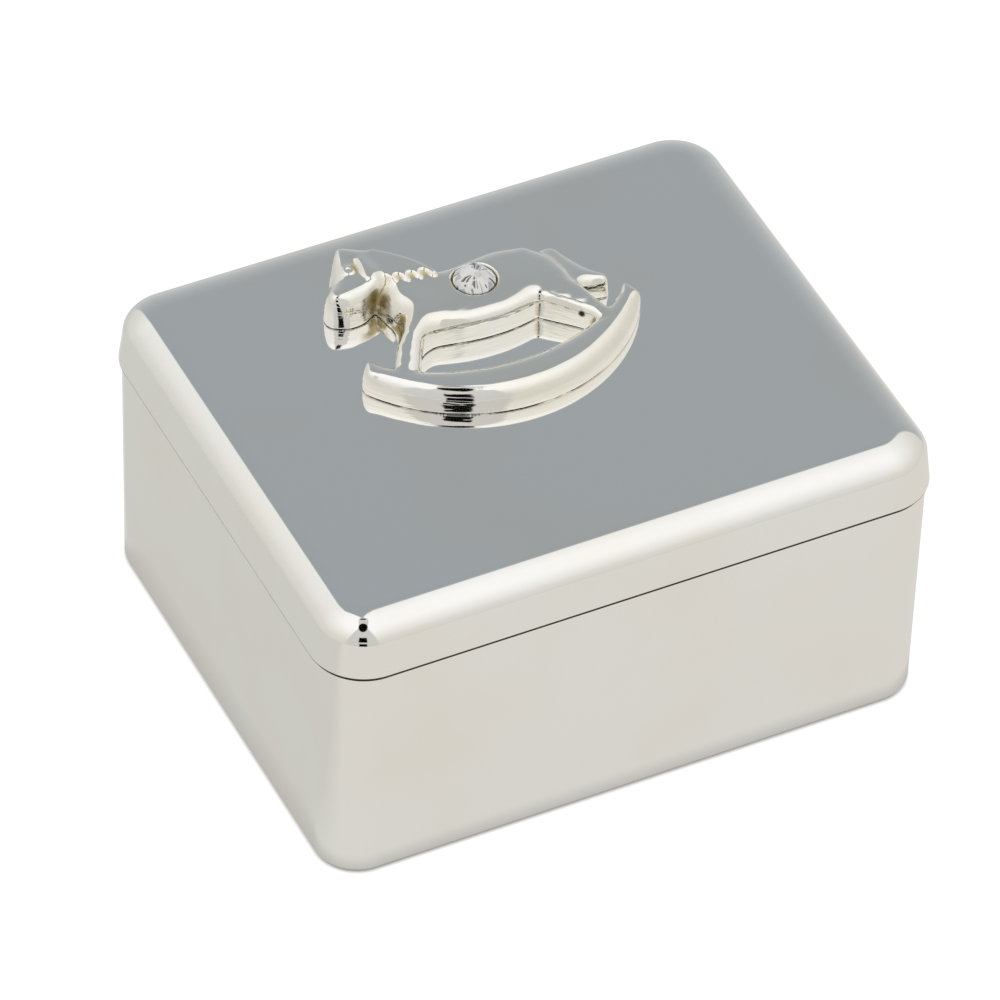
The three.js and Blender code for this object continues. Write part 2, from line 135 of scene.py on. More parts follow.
# rings are (half length, half width, corner radius, height) in millimetres, joined in their order;
# they are joined well apart and then set at their heights, because level rings can join with a twist
def loftRings(name, rings, cornerSteps):
    nothingSelected()
    bpy.ops.mesh.primitive_plane_add(size=2)
    piece = bpy.context.object
    piece.name = piece.data.name = name
    bpy.ops.object.mode_set(mode="EDIT")
    bpy.ops.mesh.delete(type="VERT")
    apart = 20 * mm
    for i, (halfX, halfY, radius, z) in enumerate(rings):
        bpy.ops.mesh.primitive_plane_add(size=2, location=(0, 0, i * apart))
        bpy.ops.transform.resize(value=(halfX * mm, halfY * mm, 1))
        bpy.ops.mesh.bevel(affect="VERTICES", offset=radius * mm, segments=cornerSteps)
        bpy.ops.object.vertex_group_assign_new()
        bpy.ops.mesh.delete(type="ONLY_FACE")
    for i in range(len(rings) - 1):
        selectRings(piece, i, i + 1)
        bpy.ops.mesh.bridge_edge_loops()
    for i, (halfX, halfY, radius, z) in enumerate(rings):
        selectRings(piece, i)
        bpy.ops.transform.translate(value=(0, 0, z * mm - i * apart))
    for i in (0, len(rings) - 1):  # both ends are closed with a flat face
        selectRings(piece, i)
        bpy.ops.mesh.edge_face_add()
    bpy.ops.mesh.select_all(action="SELECT")
    bpy.ops.mesh.normals_make_consistent(inside=False)
    bpy.ops.object.mode_set(mode="OBJECT")
    piece.vertex_groups.clear()
    return piece


def selectRings(piece, *numbers):
    bpy.ops.mesh.select_all(action="DESELECT")
    for number in numbers:
        piece.vertex_groups.active_index = number
        bpy.ops.object.vertex_group_select()


def quarterRound(run, rise, steps):
    turns = [math.pi / 2 * i / steps for i in range(steps + 1)]
    return [(run * (1 - math.cos(t)), rise * math.sin(t)) for t in turns]


def smoothShell(piece, angle=32):
    objectMode(piece)
    bpy.ops.object.shade_smooth_by_angle(angle=math.radians(angle))
    useModifier(piece, "WEIGHTED_NORMAL", keep_sharp=True, weight=50)


def smoothStep(value, low, high):
    share = min(max((value - low) / (high - low), 0.0), 1.0)
    return share * share * (3 - 2 * share)


# studio: a white tent with a grey card behind the box and an opening for the camera

photoView = {
    "azimuth": -27.606,
    "elevation": 43.719,
    "roll": 2.27,
    "distance": 763.07,
    "lens": 306.0,
    "focalPixels": 8500.0,
    "boxCentrePixel": (518.6, 493.83),
    "frameCentrePixel": (500.0, 500.0),
    "boxCentre": (0.0, 0.0, 14.856),
}


def makeCamera():
    turn = math.radians(photoView["azimuth"])
    lift = math.radians(photoView["elevation"])
    roll = math.radians(photoView["roll"])
    back = Vector((math.sin(turn) * math.cos(lift), -math.cos(turn) * math.cos(lift), math.sin(lift)))
    level = Vector((math.cos(turn), math.sin(turn), 0))
    upright = back.cross(level)
    right = level * math.cos(roll) + upright * math.sin(roll)
    up = upright * math.cos(roll) - level * math.sin(roll)
    centre = Vector(photoView["boxCentre"]) * mm
    place = centre + back * photoView["distance"] * mm
    # a small turn puts the box's centre on its pixel
    aside = (photoView["boxCentrePixel"][0] - photoView["frameCentrePixel"][0]) / photoView["focalPixels"]
    above = (photoView["frameCentrePixel"][1] - photoView["boxCentrePixel"][1]) / photoView["focalPixels"]
    back = (back + right * aside + up * above).normalized()
    right = (right - back * right.dot(back)).normalized()
    up = back.cross(right)
    data = bpy.data.cameras.new("photo_camera")
    data.lens = photoView["lens"]
    data.clip_end = 10
    camera = bpy.data.objects.new("photo_camera", data)
    bpy.context.scene.collection.objects.link(camera)
    axes = Matrix((right, up, back)).transposed().to_4x4()
    camera.matrix_world = Matrix.Translation(place) @ axes
    bpy.context.scene.camera = camera


# The studio by direction, in degrees. Azimuth runs to the right from the back (+Y) or from the front (-Y).
# A side edge is (side, azimuth at the horizon, lean per degree of elevation, softness).
# Spots are placed by the angle along the arch from the back over the zenith to the camera, and across it.
studio = {
    "tent": [(-6, "d3d2cb"), (28, "dedcd6"), (53, "f0efec"), (68, "fdfcfb"), (82, "ffffff")],
    "patches": [
        {"name": "grey card", "from": "back", "bottom": (-12, 2), "top": (78, 1.5),
         "sides": [("left", -1.4, 0, 1.2), ("left", -101.6, 1.67, 1.5), ("right", 71, -0.62, 2.0)],
         "ramp": [(-8, "c6c9ca"), (6, "b8bcbe"), (20, "acb1b4"), (36, "a1a6aa"), (50, "9da3a7")]},
        {"name": "camera opening", "from": "front", "bottom": (-8, 2), "top": (92, 1),
         "sides": [("left", -58, 0, 2.5), ("right", 4, 0, 2.5)],
         "ramp": [(-6, "cacac8"), (60, "cfcfcd")]},
        {"name": "camera", "from": "front", "bottom": (26, 1), "top": (49, 1),
         "sides": [("left", -35, 0, 0.8), ("right", -17, 0, 0.8)],
         "ramp": [(26, "080808"), (49, "080808")]},
        {"name": "tripod head", "from": "front", "bottom": (-3, 1), "top": (17, 1),
         "sides": [("left", -33, 0, 0.8), ("right", -18, 0, 0.8)],
         "ramp": [(-3, "080808"), (17, "080808")]},
    ],
    "spots": [
        {"name": "gap over the card", "along": (86, 14), "across": (0, 5.0), "colour": "cfcfcd"},
        {"name": "lamp boom", "along": (76, 1.6), "across": (-0.8, 3.0), "colour": "101010"},
        {"name": "top opening", "along": (98, 12), "across": (0, 5.6), "colour": "080808"},
    ],
    "spotEdge": (1.15, 0.85),
}


def rampOf(tree, value, stops):
    colour = srgb(stops[0][1])
    for (low, dark), (high, light) in zip(stops, stops[1:]):
        step = addNode(tree, "MapRange", {0: value, 1: low, 2: high})
        mixed = addNode(tree, "Mix", {0: step.outputs[0], 6: colour, 7: srgb(light)}, data_type="RGBA")
        colour = mixed.outputs[2]
    return colour


def inDegrees(tree, operation, *values):
    angle = addNode(tree, "Math", dict(enumerate(values)), operation=operation)
    return addNode(tree, "Math", {0: angle.outputs[0]}, operation="DEGREES").outputs[0]


def patchMask(tree, patch, azimuth, elevation):
    bottom, bottomSoft = patch["bottom"]
    top, topSoft = patch["top"]
    edges = [(elevation, bottom, bottomSoft), (elevation, top, -topSoft)]
    for side, limit, lean, soft in patch["sides"]:
        leant = addNode(tree, "Math", {0: elevation, 1: -lean, 2: azimuth}, operation="MULTIPLY_ADD")
        edges.append((leant.outputs[0], limit, soft if side == "left" else -soft))
    mask = 1.0
    for value, limit, soft in edges:
        step = addNode(tree, "MapRange", {0: value, 1: limit - soft, 2: limit + soft},
                       interpolation_type="SMOOTHSTEP")
        mask = addNode(tree, "Math", {0: step.outputs[0], 1: mask}, operation="MULTIPLY").outputs[0]
    return mask


def spotMask(tree, spot, along, across):
    squares = []
    for value, (middle, half) in ((along, spot["along"]), (across, spot["across"])):
        away = addNode(tree, "MapRange", {0: value, 1: middle, 2: middle + half}, clamp=False)
        squares.append(addNode(tree, "Math", {0: away.outputs[0], 1: 2.0}, operation="POWER").outputs[0])
    total = addNode(tree, "Math", {0: squares[0], 1: squares[1]}, operation="ADD")
    outside, inside = studio["spotEdge"]
    edge = addNode(tree, "MapRange", {0: total.outputs[0], 1: outside, 2: inside},
                   interpolation_type="SMOOTHSTEP")
    return edge.outputs[0]


def makeWorld():
    world = bpy.data.worlds.new("studio")
    bpy.context.scene.world = world
    world.use_nodes = True
    tree = world.node_tree
    tree.nodes.clear()
    coords = addNode(tree, "TexCoord").outputs["Generated"]
    parts = addNode(tree, "SeparateXYZ", {0: coords})
    elevation = inDegrees(tree, "ARCSINE", parts.outputs["Z"])
    forward = addNode(tree, "Math", {0: parts.outputs["Y"], 1: -1.0}, operation="MULTIPLY")
    azimuth = {
        "back": inDegrees(tree, "ARCTAN2", parts.outputs["X"], parts.outputs["Y"]),
        "front": inDegrees(tree, "ARCTAN2", parts.outputs["X"], forward.outputs[0]),
    }
    turn = math.radians(photoView["azimuth"])
    ahead = (-math.sin(turn), math.cos(turn), 0)
    toRight = (math.cos(turn), math.sin(turn), 0)
    away = addNode(tree, "VectorMath", {0: coords, 1: ahead}, operation="DOT_PRODUCT")
    aside = addNode(tree, "VectorMath", {0: coords, 1: toRight}, operation="DOT_PRODUCT")
    along = inDegrees(tree, "ARCTAN2", parts.outputs["Z"], away.outputs["Value"])
    across = inDegrees(tree, "ARCSINE", aside.outputs["Value"])
    colour = rampOf(tree, elevation, studio["tent"])
    layers = []
    for patch in studio["patches"]:
        mask = patchMask(tree, patch, azimuth[patch["from"]], elevation)
        layers.append((mask, rampOf(tree, elevation, patch["ramp"])))
    for spot in studio["spots"]:
        layers.append((spotMask(tree, spot, along, across), srgb(spot["colour"])))
    for mask, tone in layers:
        colour = addNode(tree, "Mix", {0: mask, 6: colour, 7: tone}, data_type="RGBA").outputs[2]
    light = addNode(tree, "Background", {"Color": colour, "Strength": 1.0})
    seen = addNode(tree, "Background", {"Color": (1, 1, 1, 1), "Strength": 1.0})
    path = addNode(tree, "LightPath")
    both = addNode(tree, "MixShader", {0: path.outputs["Is Camera Ray"], 1: light.outputs[0],
                                       2: seen.outputs[0]})
    addNode(tree, "OutputWorld", {"Surface": both.outputs[0]})


floorSizes = {
    "half": 1500.0, "below": 0.02, "paper": "eceae5", "shadowShare": 0.1, "glow": 1.12,
    "frontTone": "dedcd7", "leftTone": "d0cfca", "backTone": "c4c7c8", "toneShare": 0.85,
    "leftFrom": -31.0, "leftTo": -29.5, "slant": -0.5, "slantFrom": -8.0, "slantTo": 2.0,
    "backFrom": 85.0, "backTo": 55.0, "cardFrom": -20.0, "cardTo": -45.0,
    "boxHalf": (29.4, 24.15), "boxCorner": 4.1, "underBox": (-0.4, 0.25),
    "nearBox": (0.0, 2.2), "nearShade": 0.72,
}


def makeFloor():
    s = floorSizes
    nothingSelected()
    bpy.ops.mesh.primitive_plane_add(size=2 * s["half"] * mm, location=(0, 0, -s["below"] * mm))
    floor = bpy.context.object
    floor.name = "studio_floor"
    # matt white paper sweep: the camera sees it as white with a trace of the shadow,
    # and the silver sees a glow with painted shade: darker to the left, grey well behind the box, and a
    # painted contact shadow next to it
    material, tree, shader = newMaterial("matt white paper")
    shader.inputs["Base Color"].default_value = srgb(s["paper"])
    shader.inputs["Roughness"].default_value = 1.0
    shader.inputs["Specular IOR Level"].default_value = 0.0
    place = addNode(tree, "SeparateXYZ", {0: addNode(tree, "TexCoord").outputs["Object"]})
    beyond = []
    for axis, half in zip("XY", s["boxHalf"]):
        size = addNode(tree, "Math", {0: place.outputs[axis]}, operation="ABSOLUTE")
        straight = (half - s["boxCorner"]) * mm
        past = addNode(tree, "Math", {0: size.outputs[0], 1: straight}, operation="SUBTRACT")
        beyond.append(addNode(tree, "Math", {0: past.outputs[0], 1: 0.0}, operation="MAXIMUM").outputs[0])
    reach = addNode(tree, "CombineXYZ", {0: beyond[0], 1: beyond[1]})
    away = addNode(tree, "VectorMath", {0: reach.outputs[0]}, operation="LENGTH")
    clear = addNode(tree, "Math", {0: away.outputs["Value"], 1: s["boxCorner"] * mm}, operation="SUBTRACT")
    fromBox = clear.outputs[0]
    shown = addNode(tree, "MapRange", {0: fromBox, 1: s["underBox"][0] * mm, 2: s["underBox"][1] * mm,
                                       3: 1.0, 4: s["shadowShare"]}, interpolation_type="SMOOTHSTEP")
    glow = addNode(tree, "Emission", {"Strength": s["glow"]})
    faint = addNode(tree, "MixShader", {0: shown.outputs[0], 1: glow.outputs[0], 2: shader.outputs[0]})
    beside = addNode(tree, "MapRange", {0: place.outputs["X"], 1: s["leftFrom"] * mm, 2: s["leftTo"] * mm})
    slant = addNode(tree, "Math", {0: place.outputs["X"], 1: s["slant"], 2: place.outputs["Y"]},
                    operation="MULTIPLY_ADD")
    ahead = addNode(tree, "MapRange", {0: slant.outputs[0], 1: s["slantTo"] * mm, 2: s["slantFrom"] * mm})
    aside = addNode(tree, "Math", {0: beside.outputs[0], 1: ahead.outputs[0]}, operation="MAXIMUM")
    nearer = addNode(tree, "MapRange", {0: place.outputs["Y"], 1: s["backFrom"] * mm, 2: s["backTo"] * mm})
    lefter = addNode(tree, "MapRange", {0: place.outputs["X"], 1: s["cardFrom"] * mm, 2: s["cardTo"] * mm})
    behind = addNode(tree, "Math", {0: nearer.outputs[0], 1: lefter.outputs[0]}, operation="MAXIMUM")
    # painted shade in the glow the silver sees: the floor to the left is darker, and the floor well behind
    # the box is grey
    tone = addNode(tree, "Mix", {0: aside.outputs[0], 6: srgb(s["leftTone"]), 7: srgb(s["frontTone"])},
                   data_type="RGBA")
    tone = addNode(tree, "Mix", {0: behind.outputs[0], 6: srgb(s["backTone"]), 7: tone.outputs[2]},
                   data_type="RGBA")
    # painted contact shadow: the glow the silver sees darkens close to the box
    contactShadow = addNode(tree, "MapRange", {0: fromBox, 1: s["nearBox"][0] * mm, 2: s["nearBox"][1] * mm,
                                      3: s["nearShade"], 4: 1.0}, interpolation_type="SMOOTHSTEP")
    paintedShadeGlow = addNode(tree, "Emission", {"Color": tone.outputs[2], "Strength": contactShadow.outputs[0]})
    mirrored = addNode(tree, "MixShader", {0: s["toneShare"], 1: shader.outputs[0], 2: paintedShadeGlow.outputs[0]})
    path = addNode(tree, "LightPath")
    silverSees = addNode(tree, "MixShader", {0: path.outputs["Is Glossy Ray"], 1: shader.outputs[0],
                                             2: mirrored.outputs[0]})
    both = addNode(tree, "MixShader", {0: path.outputs["Is Camera Ray"], 1: silverSees.outputs[0],
                                       2: faint.outputs[0]})
    tree.links.new(both.outputs[0], tree.nodes["Material Output"].inputs["Surface"])
    floor.data.materials.append(material)


makeCamera()
makeWorld()
makeFloor()
print("studio ready")


# finishes

# bright silver plate on a polished zinc casting: a mirror with a faint waviness, haze and a few pits
def polishedSilver():
    material, tree, shader = newMaterial("polished silver plate")
    coords = addNode(tree, "TexCoord").outputs["Object"]
    cloud = addNode(tree, "TexNoise", {"Vector": coords, "Scale": perMm(16), "Detail": 2.0})
    clouded = addNode(tree, "MapRange", {0: cloud.outputs[0], 1: 0.45, 2: 0.7})
    colour = addNode(tree, "Mix", {0: clouded.outputs[0], 6: srgb("fafaf8"), 7: srgb("faf7f2")},
                     data_type="RGBA")
    cells = addNode(tree, "TexVoronoi", {"Vector": coords, "Scale": perMm(9)})
    dot = addNode(tree, "MapRange", {0: cells.outputs["Distance"], 1: 0.016, 2: 0.006})
    chosen = addNode(tree, "Math", {0: cells.outputs["Color"], 1: 0.62}, operation="GREATER_THAN")
    pit = addNode(tree, "Math", {0: dot.outputs[0], 1: chosen.outputs[0]}, operation="MULTIPLY")
    pitted = addNode(tree, "Mix", {0: pit.outputs[0], 6: colour.outputs[2], 7: srgb("8a867c")},
                     data_type="RGBA")
    haze = addNode(tree, "TexNoise", {"Vector": coords, "Scale": perMm(3), "Detail": 3.0})
    rough = addNode(tree, "MapRange", {0: haze.outputs[0], 3: 0.03, 4: 0.07})
    wave = addNode(tree, "TexNoise", {"Vector": coords, "Scale": perMm(16), "Detail": 1.0})
    bump = addNode(tree, "Bump", {"Height": wave.outputs[0], "Strength": 1.0, "Distance": 0.012 * mm})
    tree.links.new(pitted.outputs[2], shader.inputs["Base Color"])
    tree.links.new(rough.outputs[0], shader.inputs["Roughness"])
    tree.links.new(bump.outputs[0], shader.inputs["Normal"])
    shader.inputs["Metallic"].default_value = 1.0
    return material


# painted shade of the parting seam, with silver sulphide in it: dull, dark brown and uneven
def shadedTarnishedSeam():
    material, tree, shader = newMaterial("painted seam shade and tarnish")
    coords = addNode(tree, "TexCoord").outputs["Object"]
    patchy = addNode(tree, "TexNoise", {"Vector": coords, "Scale": perMm(2.5), "Detail": 4.0})
    colour = addNode(tree, "Mix", {0: patchy.outputs[0], 6: srgb("241f16"), 7: srgb("4a4131")},
                     data_type="RGBA")
    rough = addNode(tree, "MapRange", {0: patchy.outputs[0], 3: 0.5, 4: 0.75})
    tree.links.new(colour.outputs[2], shader.inputs["Base Color"])
    tree.links.new(rough.outputs[0], shader.inputs["Roughness"])
    shader.inputs["Metallic"].default_value = 0.3
    return material


silverPlate = polishedSilver()
seamShadeAndTarnish = shadedTarnishedSeam()


# the box: cast tub and lid with the hinge between them

tubSizes = {
    "halfX": 29.7, "halfY": 24.45, "rimZ": 24.2, "rimCorner": 4.8, "rimRound": 0.25,
    "footZ": 0.2, "footCorner": 4.1, "footRound": 0.35, "draft": 0.3, "wall": 2.0,
    "floorZ": 2.2, "floorCorner": 2.1, "recessInset": 2.1, "recessZ": 0.8, "recessCorner": 2.3,
    "cornerSteps": 28, "edgeSteps": 5, "seam": 0.2,
}
lidSizes = {
    "halfX": 30.0, "halfY": 24.75, "footZ": 24.35, "topZ": 29.7, "corner": 5.1, "footRound": 0.25,
    "lean": 0.37, "edgeRun": 3.6, "edgeRise": 2.1, "wall": 2.0, "ceilingZ": 28.1,
    "ceilingRun": 1.6, "ceilingRise": 1.1, "cornerSteps": 28, "edgeSteps": 28, "ceilingSteps": 6,
    "footSteps": 4, "seam": 0.22,
}
hingeSizes = {
    "y": 23.0, "z": 24.275, "length": 30.0, "lidKnuckle": 10.0, "radius": 1.45, "endGap": 0.3,
    "runGap": 0.3, "bore": 0.78, "pin": 0.7, "pinRecess": 0.25, "pinRound": 0.15,
    "openAngle": 100.0, "stopGap": 0.15, "grooveReach": 3.5, "sides": 64,
}


# outside of the tub, from its foot to its rim
def tubRings():
    s = tubSizes
    rings = []
    for run, drop in quarterRound(s["footRound"], s["footRound"], s["edgeSteps"])[::-1]:
        inset = s["draft"] + run
        z = s["footZ"] + s["footRound"] - drop
        rings.append((s["halfX"] - inset, s["halfY"] - inset, s["footCorner"] - run, z))
    for run, rise in quarterRound(s["rimRound"], s["rimRound"], s["edgeSteps"]):
        z = s["rimZ"] - s["rimRound"] + rise
        rings.append((s["halfX"] - run, s["halfY"] - run, s["rimCorner"] - run, z))
    return rings


# inside of the tub, from its floor to just above the rounded mouth
def hollowRings():
    s = tubSizes
    mouthX, mouthY, mouthCorner = s["halfX"] - s["wall"], s["halfY"] - s["wall"], s["rimCorner"] - s["wall"]
    rings = [(mouthX - s["draft"], mouthY - s["draft"], s["floorCorner"], s["floorZ"])]
    for run, rise in quarterRound(s["rimRound"], s["rimRound"], s["edgeSteps"]):
        rings.append((mouthX + run, mouthY + run, mouthCorner + run, s["rimZ"] - s["rimRound"] + rise))
    run = s["rimRound"]
    rings.append((mouthX + run, mouthY + run, mouthCorner + run, s["rimZ"] + s["wall"]))
    return rings


def makeTub():
    s = tubSizes
    shell = loftRings("cast_tub", tubRings(), s["cornerSteps"])
    cutOrJoin(shell, loftRings("hollow", hollowRings(), s["cornerSteps"]), "DIFFERENCE")
    recess = (s["halfX"] - s["recessInset"], s["halfY"] - s["recessInset"], s["recessCorner"])
    recessRings = [(*recess, -s["recessZ"]), (*recess, s["recessZ"])]
    cutOrJoin(shell, loftRings("felt_recess", recessRings, s["cornerSteps"]), "DIFFERENCE")
    return shell


def lidRings():
    s = lidSizes
    innerX, innerY, innerCorner = s["halfX"] - s["wall"], s["halfY"] - s["wall"], s["corner"] - s["wall"]
    rings = []
    for run, rise in quarterRound(s["ceilingRun"], s["ceilingRise"], s["ceilingSteps"])[::-1]:
        inset = s["lean"] + run
        z = s["ceilingZ"] - s["ceilingRise"] + rise
        rings.append((innerX - inset, innerY - inset, innerCorner - inset, z))
    footRound = quarterRound(s["footRound"], s["footRound"], s["footSteps"])
    for run, drop in footRound:
        rings.append((innerX + run, innerY + run, innerCorner + run, s["footZ"] + s["footRound"] - drop))
    for run, drop in footRound[::-1]:
        z = s["footZ"] + s["footRound"] - drop
        rings.append((s["halfX"] - run, s["halfY"] - run, s["corner"] - run, z))
    for run, rise in quarterRound(s["edgeRun"], s["edgeRise"], s["edgeSteps"]):
        inset = s["lean"] + run
        z = s["topZ"] - s["edgeRise"] + rise
        rings.append((s["halfX"] - inset, s["halfY"] - inset, s["corner"] - inset, z))
    return rings


def hingeBar(name, radius, length, x=0.0):
    nothingSelected()
    bpy.ops.mesh.primitive_cylinder_add(vertices=hingeSizes["sides"], radius=radius * mm, depth=length * mm,
                                        location=(x * mm, hingeSizes["y"] * mm, hingeSizes["z"] * mm),
                                        rotation=(0, math.pi / 2, 0))
    bar = bpy.context.object
    bar.name = bar.data.name = name
    bpy.ops.object.transform_apply(location=True, rotation=True, scale=True)
    return bar


# bar with a V section: its edge lies just ahead of the hinge axis, its faces are the lid's stop
def stopGroove():
    s = hingeSizes
    spread = s["grooveReach"] * math.tan(math.radians(s["openAngle"] / 2))
    edgeY = s["y"] - s["stopGap"]
    length = 2 * lidSizes["halfX"]
    nothingSelected()
    bpy.ops.mesh.primitive_plane_add(size=1, rotation=(0, math.pi / 2, 0))
    groove = bpy.context.object
    groove.scale = (2 * spread * mm, s["grooveReach"] * mm, 1)
    groove.location = (-length / 2 * mm, (edgeY + s["grooveReach"] / 2) * mm, s["z"] * mm)
    bpy.ops.object.transform_apply(location=True, rotation=True, scale=True)
    editMode(groove)
    pickPoints(groove, lambda co: co.y < edgeY + s["grooveReach"] / 2)
    bpy.ops.mesh.merge(type="CENTER")
    bpy.ops.mesh.select_all(action="SELECT")
    bpy.ops.mesh.extrude_region_move(TRANSFORM_OT_translate={"value": (length * mm, 0, 0)})
    bpy.ops.mesh.select_all(action="SELECT")
    bpy.ops.mesh.normals_make_consistent(inside=False)
    objectMode(groove)
    return groove


def cutHinge(tubShell, lidShell):
    s = hingeSizes
    pocket = s["radius"] + s["runGap"]
    sideLength = (s["length"] - s["lidKnuckle"]) / 2 - s["endGap"]
    sideX = (s["length"] - sideLength) / 2
    cutOrJoin(tubShell, stopGroove(), "DIFFERENCE")
    cutOrJoin(lidShell, stopGroove(), "DIFFERENCE")
    cutOrJoin(tubShell, hingeBar("pocket", pocket, s["lidKnuckle"] + 2 * s["endGap"]), "DIFFERENCE")
    for side in (-1, 1):
        pocketBar = hingeBar("pocket", pocket, sideLength + 2 * s["endGap"], side * sideX)
        cutOrJoin(lidShell, pocketBar, "DIFFERENCE")
        cutOrJoin(tubShell, hingeBar("knuckle", s["radius"], sideLength, side * sideX), "UNION")
    cutOrJoin(lidShell, hingeBar("knuckle", s["radius"], s["lidKnuckle"]), "UNION")
    for shell in (tubShell, lidShell):
        cutOrJoin(shell, hingeBar("bore", s["bore"], 2 * lidSizes["halfX"]), "DIFFERENCE")


# the outer rounding along the seam takes the second finish: painted seam shade with tarnish
def paintSeamShadeAndTarnish(shell, low, high):
    leastOutward = 0.05
    for face in shell.data.polygons:
        outward = face.normal.xy.dot(face.center.xy.normalized())
        face.material_index = int(low < face.center.z / mm < high and outward > leastOutward)


# under the lining the casting is left as it came from the mould
def dullFloor(shell):
    level, nearFloor, bareFinish = 0.9, 0.1, 2
    for face in shell.data.polygons:
        if face.normal.z > level and abs(face.center.z / mm - tubSizes["floorZ"]) < nearFloor:
            face.material_index = bareFinish


# bare zinc casting: grey, matt and mottled
def bareCasting():
    material, tree, shader = newMaterial("bare zinc casting")
    coords = addNode(tree, "TexCoord").outputs["Object"]
    mottle = addNode(tree, "TexNoise", {"Vector": coords, "Scale": perMm(1.5), "Detail": 4.0})
    colour = addNode(tree, "Mix", {0: mottle.outputs[0], 6: srgb("3c3d40"), 7: srgb("5a5b5e")},
                     data_type="RGBA")
    bump = addNode(tree, "Bump", {"Height": mottle.outputs[0], "Strength": 0.5, "Distance": 0.05 * mm})
    tree.links.new(colour.outputs[2], shader.inputs["Base Color"])
    tree.links.new(bump.outputs[0], shader.inputs["Normal"])
    shader.inputs["Roughness"].default_value = 0.7
    shader.inputs["Metallic"].default_value = 0.6
    return material


tubShell = makeTub()
lidShell = loftRings("cast_lid", lidRings(), lidSizes["cornerSteps"])
cutHinge(tubShell, lidShell)
smoothShell(tubShell)
smoothShell(lidShell)
dress(tubShell, "box", [silverPlate, seamShadeAndTarnish, bareCasting()], "box_body")
dress(lidShell, "lid", [silverPlate, seamShadeAndTarnish], "lid")
# the dark brown seam finish is painted shade of the gap between tub and lid, with tarnish in it
paintSeamShadeAndTarnish(tubShell, tubSizes["rimZ"] - tubSizes["seam"], lidSizes["footZ"])
paintSeamShadeAndTarnish(lidShell, tubSizes["rimZ"], lidSizes["footZ"] + lidSizes["seam"])
dullFloor(tubShell)
print("tub and lid lofted:", len(tubShell.data.polygons), len(lidShell.data.polygons), "faces")


# drawn stainless steel rod: fine lines along it
def drawnSteel():
    material, tree, shader = newMaterial("drawn stainless steel")
    coords = addNode(tree, "TexCoord").outputs["Object"]
    lines = addNode(tree, "Mapping", {0: coords, 3: (perMm(4), perMm(0.08), perMm(0.08))})
    grain = addNode(tree, "TexNoise", {"Vector": lines.outputs[0], "Scale": 1.0, "Detail": 2.0})
    colour = addNode(tree, "Mix", {0: grain.outputs[0], 6: srgb("a9abad"), 7: srgb("c9cacb")},
                     data_type="RGBA")
    rough = addNode(tree, "MapRange", {0: grain.outputs[0], 3: 0.2, 4: 0.38})
    tree.links.new(colour.outputs[2], shader.inputs["Base Color"])
    tree.links.new(rough.outputs[0], shader.inputs["Roughness"])
    shader.inputs["Metallic"].default_value = 1.0
    return material


def makePin():
    s = hingeSizes
    pin = hingeBar("steel_pin", s["pin"], s["length"] - 2 * s["pinRecess"])
    useModifier(pin, "BEVEL", width=s["pinRound"] * mm, segments=4, limit_method="ANGLE")
    smoothShell(pin, 40)
    return pin


hingePin = makePin()
dress(hingePin, "box", [drawnSteel()], "hinge_pin")
print("hinge cut and pinned")


# rocking horse: the casting's solid, softened as the mould and the polishing wheel leave it

horseSizes = {
    "voxel": 0.109, "softenSteps": 14, "headSteps": 220, "place": (-0.4, -4.25, 29.7),
    "crispZ": 3.37, "maneX": -6.6, "eye": (-9.6, 19.5), "eyeReach": 0.75,
    "seat": (0.3, 14.2), "seatRadius": 2.07, "leastSoft": 0.3,
    "headX": (-4.5, -7.5), "headY": (10.0, 12.0), "tailX": (8.8, 9.6), "tailY": (9.5, 10.5),
    "throat": (-8.7, 12.0, 31.2), "throatStain": (0.8, 2.0),
    "pit": (7.2, 3.05, 31.5), "pitShadeReach": (0.2, 0.42),
    "crispReach": (0.15, 0.7), "eyeEdge": (0.0, 0.5), "seatEdge": (0.1, 0.6), "footEdge": (0.1, 0.9),
    "jointLine": (0.16, 0.04), "jointFadeWay": (0.92, -0.4, 0), "jointFadeReach": (8.0, 3.0), "jointFadeShare": 0.25,
}


# how far each point may be softened: least at the mane, ear, eye, stone seat and foot
def softShares(horse):
    s = horseSizes
    place = Vector(s["place"])
    points = [point.co / mm - place for point in horse.data.vertices]
    crisp = [p for p in points if p.z > s["crispZ"] and p.x > s["maneX"]]
    tree = kdtree.KDTree(len(crisp))
    for i, p in enumerate(crisp):
        tree.insert(p, i)
    tree.balance()
    shares = []
    for p in points:
        share = smoothStep(tree.find(p)[2], *s["crispReach"])
        eyeAway = math.dist(p.xy, s["eye"]) - s["eyeReach"]
        seatAway = abs(math.dist(p.xy, s["seat"]) - s["seatRadius"])
        share *= smoothStep(eyeAway, *s["eyeEdge"]) * smoothStep(seatAway, *s["seatEdge"])
        share *= smoothStep(p.z, *s["footEdge"])
        head = smoothStep(p.x, *s["headX"]) * smoothStep(p.y, *s["headY"])
        tail = smoothStep(p.x, *s["tailX"]) * smoothStep(p.y, *s["tailY"])
        shares.append(share * max(s["leastSoft"], head, tail))
    return shares


def makeHorse():
    s = horseSizes
    horse = copyOfNode("cast_horse", "rocking_horse")
    useModifier(horse, "REMESH", mode="VOXEL", voxel_size=s["voxel"] * mm)
    useModifier(horse, "SMOOTH", factor=0.5, iterations=s["softenSteps"])
    group = horse.vertex_groups.new(name="soft")
    for i, share in enumerate(softShares(horse)):
        group.add([i], share, "REPLACE")
    useModifier(horse, "SMOOTH", factor=0.5, iterations=s["headSteps"], vertex_group="soft")
    horse.vertex_groups.clear()
    objectMode(horse)
    bpy.ops.object.shade_smooth()
    return horse


# how much of a round stain lies on a point
def stain(tree, coords, place, core, edge):
    away = addNode(tree, "VectorMath", {0: coords, 1: Vector(place) * mm}, operation="DISTANCE")
    return addNode(tree, "MapRange", {0: away.outputs["Value"], 1: edge * mm, 2: core * mm}).outputs[0]
